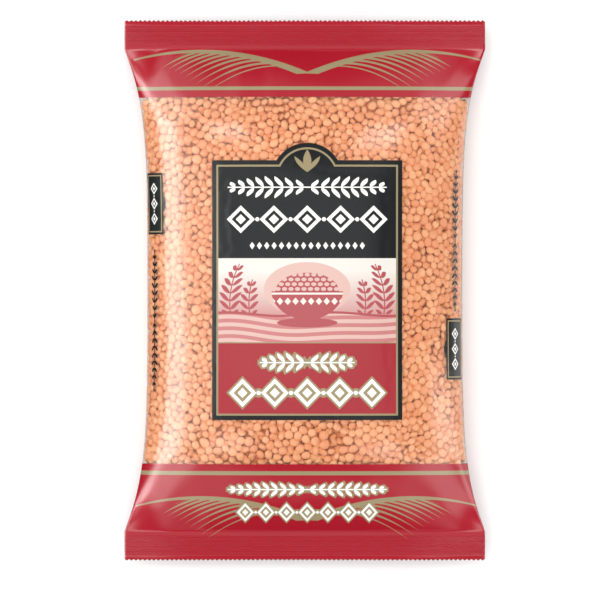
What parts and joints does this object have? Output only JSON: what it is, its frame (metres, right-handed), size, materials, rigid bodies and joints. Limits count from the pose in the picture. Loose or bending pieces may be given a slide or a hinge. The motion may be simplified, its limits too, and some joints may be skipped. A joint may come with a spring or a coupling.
{
  "type": "bag of red lentils",
  "caption": "Clear film pillow bag filled with split red lentils, shut by a crimped seal at each end, with printed bands and a face label, lying on its back.",
  "frame": {"origin": "centre of the bag's outline, at the table it lies on", "axes": "+X across the bag to the right of its face, +Y along it from foot to head, +Z out of the face, away from the table"},
  "size_m": [0.168, 0.252, 0.0539],
  "materials": {
    "printed_film": "clear glossy film with red, black and gold print",
    "red_lentils": "dry split red lentils, pale peach orange"
  },
  "bodies": {
    "root": {"filled_bag": "printed_film"}
  },
  "joints": []
}
